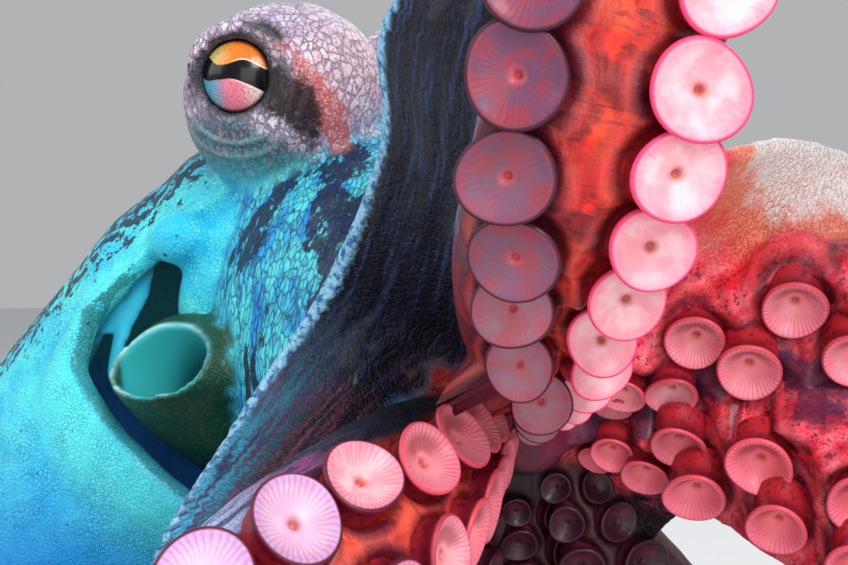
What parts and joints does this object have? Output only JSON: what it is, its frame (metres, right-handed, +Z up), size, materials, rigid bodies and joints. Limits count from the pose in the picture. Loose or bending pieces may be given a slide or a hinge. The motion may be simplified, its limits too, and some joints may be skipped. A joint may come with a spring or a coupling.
{
  "type": "octopus",
  "caption": "Octopus resting on its bent arms, sac-like mantle hanging behind, funnel out at the side, one arm raised and curled, web between the suckered arms.",
  "frame": {"origin": "on the floor, under the middle of the whole animal's bounding box", "axes": "+X the way the head and arms point, away from the mantle's tail; -Y the animal's right side; +Z up"},
  "size_m": [0.5232, 0.5576, 0.2391],
  "materials": {
    "skin": "wet satin skin, blue-green with dark blotches",
    "arm_skin": "wet satin skin, red to pink under the arms, blue-green on their outer sides, pale pink suckers",
    "web_skin": "wet satin skin, dark purple-brown",
    "eye": "wet gloss, orange and pink iris with a dark bar pupil",
    "mouth": "wet satin"
  },
  "bodies": {
    "root": {"eye_r": "eye", "eye_l": "eye", "mouth": "mouth", "mantle": "skin", "eye_mound_r": "skin", "eye_mound_l": "skin", "head": "skin", "funnel": "skin", "arm_l1_root": "arm_skin", "arm_l1_inner": "arm_skin", "arm_l1_middle": "arm_skin", "arm_l1_outer": "arm_skin", "arm_l1_tip": "arm_skin", "arm_r1_root": "arm_skin", "arm_r1_inner": "arm_skin", "arm_r1_middle": "arm_skin", "arm_r1_outer": "arm_skin", "arm_r1_tip": "arm_skin", "arm_r2_root": "arm_skin", "arm_r2_inner": "arm_skin", "arm_r2_middle": "arm_skin", "arm_r2_outer": "arm_skin", "arm_r2_tip": "arm_skin", "arm_r3_root": "arm_skin", "arm_r3_inner": "arm_skin", "arm_r3_middle": "arm_skin", "arm_r3_outer": "arm_skin", "arm_r3_tip": "arm_skin", "arm_r4_root": "arm_skin", "arm_r4_inner": "arm_skin", "arm_r4_middle": "arm_skin", "arm_r4_outer": "arm_skin", "arm_r4_tip": "arm_skin", "arm_l4_root": "arm_skin", "arm_l4_inner": "arm_skin", "arm_l4_middle": "arm_skin", "arm_l4_outer": "arm_skin", "arm_l4_tip": "arm_skin", "arm_l3_root": "arm_skin", "arm_l3_inner": "arm_skin", "arm_l3_middle": "arm_skin", "arm_l3_outer": "arm_skin", "arm_l3_tip": "arm_skin", "arm_l2_root": "arm_skin", "arm_l2_inner": "arm_skin", "arm_l2_middle": "arm_skin", "arm_l2_outer": "arm_skin", "arm_l2_tip": "arm_skin", "web_l1_r1": "web_skin", "web_r1_r2": "web_skin", "web_r2_r3": "web_skin", "web_r3_r4": "web_skin", "web_r4_l4": "web_skin", "web_l4_l3": "web_skin", "web_l3_l2": "web_skin", "web_l2_l1": "web_skin"}
  },
  "joints": []
}
